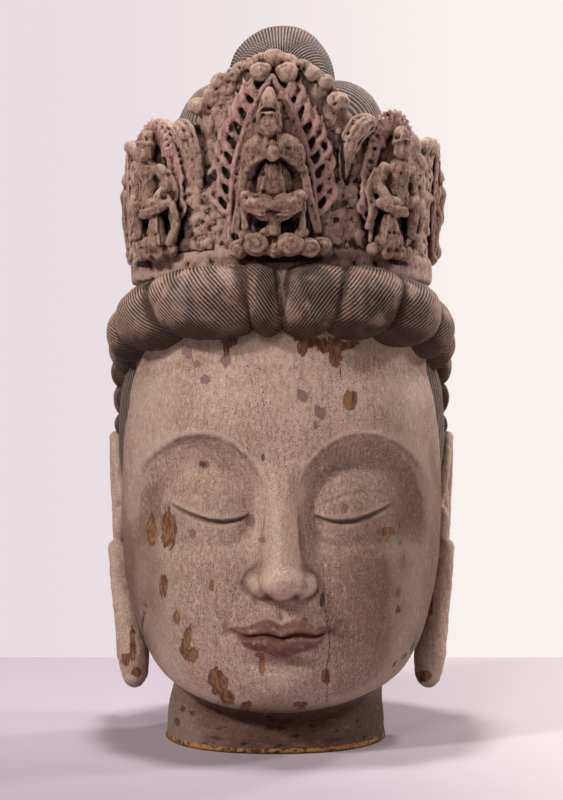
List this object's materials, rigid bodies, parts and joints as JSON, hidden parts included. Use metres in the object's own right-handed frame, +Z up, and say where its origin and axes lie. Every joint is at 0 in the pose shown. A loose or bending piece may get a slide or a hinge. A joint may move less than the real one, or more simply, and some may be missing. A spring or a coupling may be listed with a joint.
{
  "type": "bodhisattva head sculpture",
  "caption": "Carved wooden head of a bodhisattva with closed eyes, long ears, a twisted roll of hair and a tall crown of small figures, standing on its cut neck.",
  "frame": {"origin": "on the flat underside of the neck, on the head's middle plane", "axes": "+Z up out of the neck, the face looks along -Y, +X to the right of someone facing it"},
  "size_m": [0.3105, 0.3137, 0.6168],
  "materials": {
    "painted_wood": "old gesso and paint on carved wood, worn through in places"
  },
  "bodies": {
    "root": {"bodhisattva_head": "painted_wood"}
  },
  "joints": []
}
